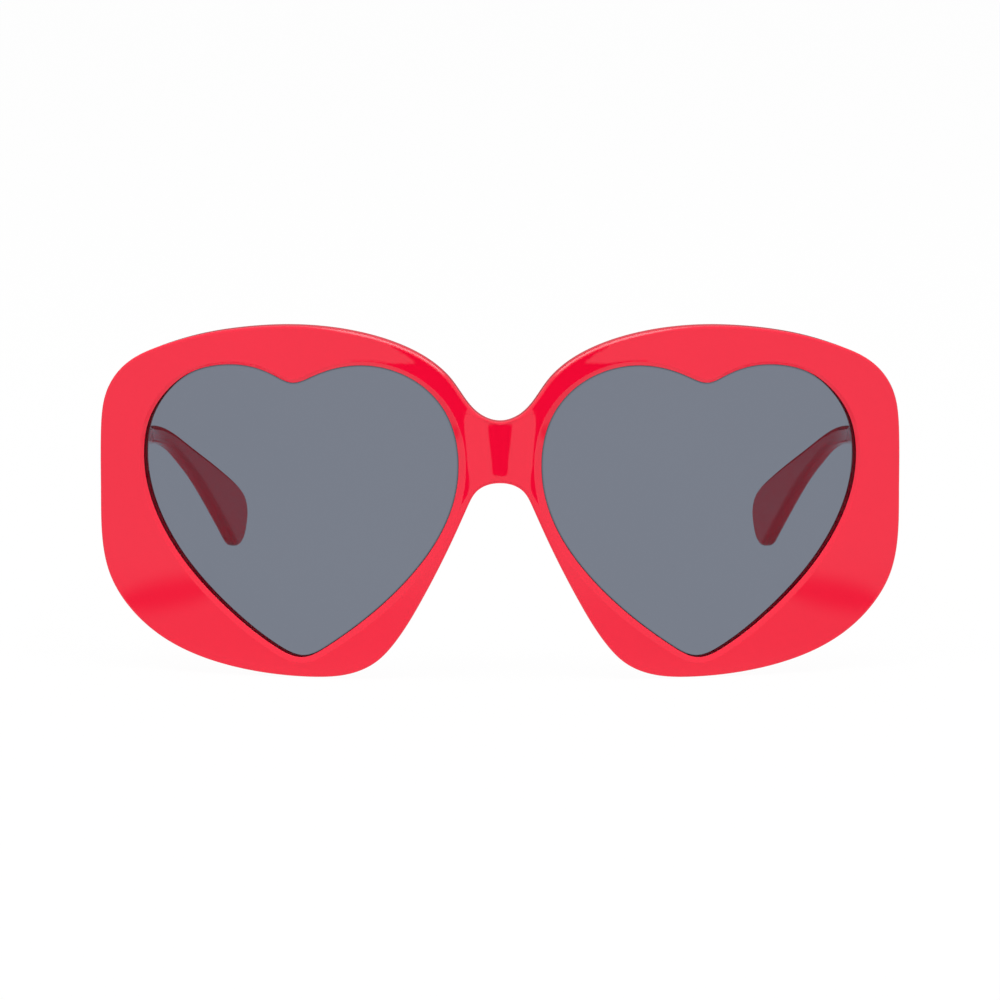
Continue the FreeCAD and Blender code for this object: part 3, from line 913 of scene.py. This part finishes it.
@dataclass
class Lens:
    """A tinted lens, wrapped like the front, with a bevelled rim for the groove."""

    wrap: Wrap
    thickness: float = 1.8
    depth: float = 0.7
    seat: float = 0.8
    edge_land: float = 0.5
    rim_shade: float = 0.4
    spacing: float = 0.4
    rings: int = 40

    def build(self, side: Side) -> None:
        """Two wrapped faces, of rungs from the heart's middle to its rim, and the rim's profile.

        The front face gets painted shade along the opening's edge, where the groove shades it: the
        mask of that painted shade falls with the distance inside the heart.

        Args:
            side: The side of the lens.
        """
        heart = self.wrap.heart()
        params = np.linspace(0, heart.length, int(heart.length / self.spacing), endpoint=False)
        rim, tangents = heart.sample(params)
        outward = right_normals(tangents)
        slope = (self.thickness - self.edge_land) / 2
        back = self.depth + self.thickness
        profile = np.array(
            [
                (self.seat - slope, self.depth),
                (self.seat, self.depth + slope),
                (self.seat, back - slope),
                (self.seat - slope, back),
            ]
        )
        flat = rim[:, None] + outward[:, None] * profile[None, :, :1]
        shell = Shell()
        shell.add(self.wrap.at_depth(flat, profile[None, :, 1]), closed=True)
        middle = np.broadcast_to(rim.mean(axis=0), rim.shape)
        shares = np.sin(np.linspace(0, math.pi / 2, self.rings))
        reach = np.sum((flat[:, 0] - middle) * outward, axis=1)[:, None]
        shade = np.clip(1 - (reach * (1 - shares) - profile[0, 0]) / self.rim_shade, 0, 1)
        for end, depth, mask in ((0, self.depth, shade**2 * (3 - 2 * shade)), (-1, back, 0.0)):
            face = self.wrap.at_depth(between(middle, flat[:, end], shares), depth)
            shell.add(face, closed=True, mask=mask)
        name = side.node("lens")
        finish_piece(shell.piece(name + "_tinted", side), "tinted_lens", "front", name)


@dataclass
class NosePad:
    """A nose pad on the back of a nasal rim."""

    wrap: Wrap
    length: float = 13.0
    base_width: float = 1.6
    reach: float = 3.8
    splay: float = 0.2
    end_round: float = 0.5
    rim_inset: float = 1.15
    end_length_share: float = 0.66
    end_width_share: float = 0.8
    foot_flare: float = 0.2
    sunk: float = 0.3
    around: int = 96

    def build(self, side: Side) -> None:
        """Sections with round ends, which shrink from the foot to a rounded end.

        A section is the line that the pad follows, moved out by half its width: its point at the
        angle a is the nearer end of that line plus the half width in the direction of a.

        Args:
            side: The side of the pad.
        """
        foot_end, top_end = self.wrap.front_points(PAD_EDGE_SHARES)
        along = (top_end - foot_end) / np.linalg.norm(top_end - foot_end)
        across = np.array([along[1], -along[0]])
        middle = (foot_end + top_end) / 2 + across * self.rim_inset
        half_width = self.base_width * self.end_width_share / 2
        turn = np.linspace(0, math.pi / 2, FLARE_STEPS)
        flare, top = self.foot_flare, self.reach
        foot = np.stack([flare * (np.sin(turn) - 1), flare * (1 - np.cos(turn))], axis=1)
        corners = [(0.0, top / 2, 0.0), (0.0, top, self.end_round), (half_width, top, 0.0)]
        end = rounded_profile(corners, steps=10)
        profile = np.vstack([[(half_width, -self.sunk), (-flare, -self.sunk)], foot, end])
        inset, height = profile[:, 0], profile[:, 1]
        share = np.clip(height / self.reach, 0, 1)
        width = self.base_width * (1 - share * (1 - self.end_width_share)) / 2
        half_line = self.length * (1 - share * (1 - self.end_length_share)) / 2 - width
        width = np.where(inset >= half_width, 0.0, width - inset)
        angle = np.linspace(0, 2 * math.pi, self.around, endpoint=False)[:, None]
        run = np.where(np.sin(angle) < 0, -half_line, half_line) + width * np.sin(angle)
        flat = middle + run[..., None] * along + (width * np.cos(angle))[..., None] * across
        flat[..., 0] += self.splay * share
        back = self.wrap.sag(self.wrap.thickness, flat[..., 0])
        level = self.wrap.sag(self.wrap.thickness, self.wrap.half_gap)
        deep = back * (1 - share) + level * share + height
        shell = Shell()
        shell.add(np.stack([flat[..., 0], deep, flat[..., 1]], axis=-1), closed=True)
        name = side.node("nose_pad")
        finish_piece(shell.piece(name + "_moulded", side), "pad_acetate", "front", name)


@dataclass
class Temple:
    """An acetate temple with its bend round the ear and its paddle."""

    hinge: Hinge
    length: float = 126.0
    paddle_thickness: float = 2.7
    drop: float = 22.4
    butt_height: float = 10.0
    edge_round: float = 1.1
    tumbled_off: float = 0.03
    bend_start: float = 64.0
    bend_radius: float = 60.0
    bend_angle: float = 17.5
    leaf_proud: float = 0.03
    butt_fade: float = 10.0
    stations: int = 170
    tip_skip: int = 6
    columns: int = 14

    def side_view(self) -> Spline:
        """The outline from the top of the butt round the paddle to its foot."""
        butt = np.array([self.hinge.butt_gap / 2, self.butt_height / 2])
        shares = np.array(TEMPLE_SHARES) * (self.length, self.drop)
        return Spline(np.vstack([butt, shares, butt * (1, -1)]), False)

    def face_line(self, along: np.ndarray, butt_depth: float, paddle_depth: float) -> np.ndarray:
        """Distance across of one face at a distance along: straight, round the bend, and straight.

        The bend's circle has its centre inside the head. The first straight is the tangent to it
        from the butt, and the last one is the tangent where the bend ends, whose distance from
        the centre is the radius.

        Args:
            along: Distances along the temple from the pin.
            butt_depth: Distance of the face from the inner one at the butt.
            paddle_depth: The same at the paddle.

        Returns:
            Distances across from the pin.
        """
        radius = self.bend_radius + paddle_depth
        butt = np.array([self.bend_radius + butt_depth, self.hinge.butt_gap / 2 - self.bend_start])
        entry = math.atan2(butt[1], butt[0]) + math.acos(radius / float(np.linalg.norm(butt)))
        turn = math.radians(self.bend_angle)
        past = along - self.bend_start
        circle = np.sqrt(np.maximum(radius**2 - past**2, 0))
        ahead, behind = ((radius - past * math.sin(a)) / math.cos(a) for a in (entry, turn))
        reach = np.where(past < radius * math.sin(entry), ahead, circle)
        reach = np.where(past > radius * math.sin(turn), behind, reach)
        return self.hinge.leaf_face - self.bend_radius + reach

    def plan(self, along: np.ndarray, width: np.ndarray) -> np.ndarray:
        """Distance across from the pin, by the nearer face, so that its edge stays round.

        Args:
            along: Distances along the temple from the pin.
            width: Distances from the inner face, as at the butt.

        Returns:
            Distances across from the pin.
        """
        thick = self.hinge.temple_thickness
        inner = self.face_line(along, 0.0, 0.0) + width
        outer = self.face_line(along, thick, self.paddle_thickness) - (thick - width)
        return np.where(width < thick / 2, inner, outer)

    def build(self, side: Side) -> None:
        """A slab between the two halves of the side view, bent in plan and cut back at the hinge.

        Args:
            side: The side of the temple.
        """
        outline = self.side_view()
        tip_row = 1 + int(np.argmax([share[0] for share in TEMPLE_SHARES]))
        tip = outline.knots[tip_row]
        faces, rounds = (self.leaf_proud, self.hinge.temple_thickness), (self.edge_round,) * 2
        profile = edge_band(self.tumbled_off, faces, rounds, steps=9)
        shares = np.append(eased(self.stations)[: -self.tip_skip], 1.0)
        edges = []
        for start in (0.0, outline.length):
            points, tangents = outline.sample(start + (tip - start) * shares)
            edges.append(points[:, None] + right_normals(tangents)[:, None] * profile[None, :, :1])
        shell = Shell()
        for grid, closed in zip(slab_grids(*edges, profile, self.columns), (True, False)):
            along, height, width = np.moveaxis(grid, -1, 0)
            butt = self.hinge.butt(self.hinge.leaf_face + width)
            fade = np.clip(1 - (along - self.hinge.butt_gap / 2) / self.butt_fade, 0, 1)
            along = along + (butt - self.hinge.butt_gap / 2) * fade
            local = np.stack([self.plan(along, width), along, height], axis=-1)
            shell.add(self.hinge.from_pin(local), closed)
        name = side.node("temple")
        finish_piece(shell.piece(name + "_acetate", side), "acetate", side.node("arm"), name)


@dataclass
class Hardware:
    """The steel that keeps its CAD shape."""

    slots: tuple[tuple[str, str], ...] = (
        ("front_hinge", "hinge_steel"),
        ("temple_hinge", "hinge_steel"),
        ("hinge_screw", "screw_steel"),
        ("core_wire", "core_steel"),
    )

    def dress(self, side: Side) -> None:
        """Give one side's steel nodes their finishes.

        Args:
            side: The side.
        """
        for name, slot in self.slots:
            node = frame["nodes"][side.node(name)]
            node.data.materials.clear()
            node.data.materials.append(MATERIALS[slot])
            LOG.info("%s: CAD shape in %s", node.name, slot)


def card_material(name: str, strength: float) -> Material:
    """Plain light of a strength, or black for none, that fades out by the card's own mask.

    Args:
        name: The material's name.
        strength: The light's strength, where one is white.

    Returns:
        The new material.
    """
    material, bench = new_material(name)
    mask = bench.add("ShaderNodeAttribute", {"attribute_name": MASK}).outputs["Fac"]
    shown = bench.add("ShaderNodeEmission", Strength=strength)
    bench.surface(mask, bench.add("ShaderNodeBsdfTransparent"), shown)
    return material


def glossy_card(name: str, spots: np.ndarray, mask: np.ndarray, material: Material) -> None:
    """A card that only reflections show.

    Args:
        name: The card's name.
        spots: Grid of its points, in metres.
        mask: How much of it is there, at each point.
        material: What it shows.
    """
    mesh = quad_mesh(name, spots.reshape(-1, 3), grid_quads(*mask.shape), mask.ravel())
    mesh.materials.append(material)
    card = stand(name, mesh)
    card.visible_camera = card.visible_diffuse = False
    card.visible_transmission = card.visible_shadow = False


@dataclass(frozen=True)
class Flag:
    """A black card flat on the floor, which darkens a part of the polished face.

    Its two long edges are given by where the eye finds them on the right half of the face, in
    front view millimetres, and their rows face each other.
    """

    name: str
    first: tuple[Pair, ...]
    second: tuple[Pair, ...]
    softness: float
    height: float
    strength: float = 1.0
    sides: tuple[Side, ...] = (Side.LEFT, Side.RIGHT)
    stations: int = 120
    columns: int = 17

    def lay(self, side: Side, eye: np.ndarray, material: Material) -> None:
        """Build the card where the face mirrors it into the eye.

        The eye's ray to a point of the face leaves it mirrored in the normal, and meets the card's
        plane. The mask rises from the edges to the inside over the softness.

        Args:
            side: The half of the face.
            eye: Where the camera stands.
            material: The card's black.
        """
        edges = []
        for table in (self.first, self.second):
            line = Spline(np.array(table), False)
            rows = np.linspace(0, len(table) - 1, self.stations)
            edges.append(line.sample(line.at_rows(rows))[0])
        across = np.linspace(0, 1, self.columns)
        flat = between(edges[0], edges[1], across) * (side.value, 1)
        share = flat[..., 0] / WRAP.radius
        normal = np.stack([share, -np.sqrt(1 - share**2), 0 * share], axis=-1)
        spot = placed(WRAP.at_depth(flat, 0.0))
        ray = (spot - eye) / np.linalg.norm(spot - eye, axis=-1, keepdims=True)
        ray = ray - 2 * np.sum(ray * normal, axis=-1, keepdims=True) * normal
        spot = spot + ray * ((self.height - spot[..., 2]) / ray[..., 2])[..., None]
        width = np.linalg.norm(edges[1] - edges[0], axis=-1)[:, None]
        inside = np.clip(np.minimum(across, 1 - across)[None] * width / self.softness, 0, 1)
        mask = inside**2 * (3 - 2 * inside) * self.strength
        glossy_card(side.node(self.name), spot, mask, material)


FLAGS = (
    Flag(
        "bridge_flag",
        ((2.4, 47.9), (2.2, 45.6), (1.55, 39.4), (1.48, 38.8), (1.25, 38.45), (0.9, 38.3)),
        ((-2.4, 47.9), (-2.2, 45.6), (-1.55, 39.4), (-1.48, 38.8), (-1.25, 38.45), (-0.9, 38.3)),
        softness=0.12, height=0.0005, sides=(Side.RIGHT,),
    ),
    Flag(
        "nasal_flag",
        (
            (7.3, 32.9), (7.0, 35.2), (6.7, 37.2), (6.5, 39.9), (6.6, 42.5), (7.6, 46.0),
            (9.0, 49.1), (11.1, 52.2), (13.4, 54.5), (16.2, 56.4), (19.3, 57.8), (22.1, 58.5),
            (27.0, 58.8),
        ),
        (
            (7.2, 32.8), (5.8, 35.2), (5.5, 37.0), (5.8, 39.9), (6.0, 42.5), (6.3, 46.0),
            (6.4, 48.9), (5.0, 53.5), (8.5, 58.6), (14.5, 59.3), (19.2, 59.1), (22.5, 59.4),
            (27.0, 59.4),
        ),
        softness=0.12, height=0.0006,
    ),
    Flag(
        "brow_flag",
        ((11.0, 57.0), (15.6, 59.1), (17.3, 60.5), (18.6, 61.3), (19.8, 62.0)),
        ((8.0, 59.0), (12.0, 62.0), (15.1, 63.3), (18.0, 63.6), (19.8, 63.0)),
        softness=0.15, height=0.0007,
    ),
    Flag(
        "temporal_flag",
        ((50.0, 15.5), (55.0, 11.8), (60.0, 10.0), (65.0, 8.8), (70.0, 8.8), (74.0, 10.5)),
        ((50.0, 16.0), (55.0, 20.2), (60.0, 20.0), (65.0, 18.6), (70.0, 16.0), (74.0, 11.0)),
        softness=4.5, height=0.0008, strength=0.65,
    ),
    Flag(
        "floor_flag",
        ((8.0, -4.0), (30.0, -4.0), (50.0, -4.0), (74.0, -4.0)),
        ((8.0, 22.0), (30.0, 22.0), (50.0, 22.0), (74.0, 22.0)),
        softness=11.0, height=0.0004, strength=0.2,
    ),
)


@dataclass(frozen=True)
class HungCard:
    """A level card over the brow, in metres, which fades out between two lines on each side."""

    name: str
    height: float
    span: Corners
    depth: Corners
    strength: float

    def hang(self) -> None:
        """Build the card and what it shows."""
        across, along = np.meshgrid(self.span, self.depth, indexing="ij")
        mask = np.zeros(across.shape)
        mask[1:-1, 1:-1] = 1.0
        spots = np.stack([across, along, 0 * mask + self.height], axis=-1)
        glossy_card(self.name, spots, mask, card_material(self.name, self.strength))


BROW_SPAN = (-0.042, -0.03, 0.03, 0.042)
BRIDGE_SPAN = (-0.006, -0.005, 0.005, 0.006)
HUNG_CARDS = (
    HungCard("glow_card", 0.1, BROW_SPAN, (-0.145, -0.125, -0.05, -0.04), strength=5.0),
    HungCard("shade_card", 0.1, BROW_SPAN, (-0.05, -0.04, 0.03, 0.06), strength=0.0),
    HungCard("bridge_card", 0.056, BRIDGE_SPAN, (-0.105, -0.1, -0.06, -0.055), strength=1.0),
)


def aimed(name: str, data: bpy.types.ID, place: Any, target: Any) -> bpy.types.Object:
    """A camera or lamp that points at a target.

    Args:
        name: Its name.
        data: What it is.
        place: Where it stands.
        target: Where it points.

    Returns:
        The new object.
    """
    thing = stand(name, data)
    thing.location = place
    thing.rotation_mode = "QUATERNION"
    thing.rotation_quaternion = Vector(np.subtract(target, place)).to_track_quat("-Z", "Y")
    return thing


@dataclass(frozen=True)
class Lamp:
    """A soft box that reflections don't show, in metres and watts."""

    name: str
    place: Place
    size: Pair
    power: float

    def hang(self, target: Place) -> None:
        """Build the lamp.

        Args:
            target: Where it points.
        """
        data = bpy.data.lights.new(self.name, "AREA")
        data.shape = "RECTANGLE"
        data.size, data.size_y = self.size
        data.energy = self.power
        aimed(self.name, data, self.place, target).visible_glossy = False


LAMPS = (
    Lamp("top_box", place=(0.0, -0.25, 1.0), size=(1.0, 0.5), power=9.0),
    Lamp("front_box", place=(0.0, -1.5, 0.15), size=(1.3, 0.25), power=3.8),
)


@dataclass
class Studio:
    """Camera, floor, surroundings and lamps, in metres."""

    distance: float = 1.1
    elevation: float = 10.0
    aim_height: float = 0.03385
    focal_length: float = 216.04
    sensor: float = 36.0
    floor_size: float = 8.0
    floor_tone: float = 0.9
    floor_glow: float = 0.97
    ambient: float = 0.5
    back_flag: tuple[float, float, float] = (0.7, 0.4, 0.5)
    back_shade: float = 0.9

    @property
    def aim(self) -> np.ndarray:
        """The point on the middle of the face that the camera looks at."""
        return SHIFT * MM * (0, 1, 1) + (0, 0, self.aim_height)

    @property
    def eye(self) -> np.ndarray:
        """Where the camera stands."""
        rise = math.radians(self.elevation)
        return self.aim + self.distance * np.array([0, -math.cos(rise), math.sin(rise)])

    def camera(self) -> None:
        """Stand the camera at the photograph's viewing angle."""
        data = bpy.data.cameras.new("camera")
        data.lens, data.sensor_width = self.focal_length, self.sensor
        bpy.context.scene.camera = aimed("camera", data, self.eye, self.aim)

    def world(self) -> None:
        """White for the camera, reflections and glass, and plain light for the rest."""
        world = bpy.data.worlds.new("studio")
        bpy.context.scene.world = world
        world.use_nodes = True
        bench = Bench(world.node_tree)
        seen = bench.rays("Is Camera Ray", "Is Glossy Ray", "Is Transmission Ray")
        level = bench.add("ShaderNodeMapRange", Value=seen, To_Min=self.ambient)
        background = world.node_tree.nodes["Background"].inputs
        background["Color"].default_value = (1.0, 1.0, 1.0, 1.0)
        bench.feed(background["Strength"], level.outputs["Result"])

    def floor(self) -> None:
        """A pale floor: white to the eye but for a faint shadow, and in reflections and glass."""
        half = self.floor_size / 2
        corners = [(-half, -half, 0.0), (half, -half, 0.0), (half, half, 0.0), (-half, half, 0.0)]
        mesh = bpy.data.meshes.new("floor")
        mesh.from_pydata(corners, [], [(0, 1, 2, 3)])
        floor = stand("floor", mesh)
        material, bench = new_material("pale_floor")
        pale = bench.add("ShaderNodeBsdfDiffuse", Color=(self.floor_tone,) * 3 + (1.0,))
        white = bench.add("ShaderNodeEmission", Strength=1.0)
        mirrored = bench.rays("Is Glossy Ray", "Is Transmission Ray")
        camera = bench.rays("Is Camera Ray")
        share = bench.add(
            "ShaderNodeMath", {"operation": "MULTIPLY_ADD"}, camera, self.floor_glow, mirrored
        )
        bench.surface(share.outputs[0], pale, white)
        mesh.materials.append(material)

    def flags(self) -> None:
        """Lay flags on the floor, stand one behind that fades upwards, and hang the cards."""
        material = card_material("black_flag", 0.0)
        rise = np.array([0.0, 0.5, 1.0])
        back = np.array([[(x, 1.0, z) for z in rise] for x in (-1.0, 1.0)]) * self.back_flag
        glossy_card("back_flag", back, np.tile(self.back_shade * (1 - rise**2), (2, 1)), material)
        for flag in FLAGS:
            for side in flag.sides:
                flag.lay(side, self.eye, material)
        for card in HUNG_CARDS:
            card.hang()

    def build(self) -> None:
        """Set up everything round the object."""
        bpy.context.scene.view_settings.view_transform = "Standard"
        self.camera()
        self.world()
        self.floor()
        self.flags()
        for lamp in LAMPS:
            lamp.hang((0.0, 0.0, self.aim_height))


def main() -> None:
    """Build the pieces in order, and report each."""
    logging.basicConfig(level=logging.INFO, format="%(message)s")
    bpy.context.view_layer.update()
    Studio().build()
    Front(WRAP, HINGE).build()
    for side in Side:
        Lens(WRAP).build(side)
        NosePad(WRAP).build(side)
        Temple(HINGE).build(side)
        Hardware().dress(side)


if __name__ == "__main__":
    main()
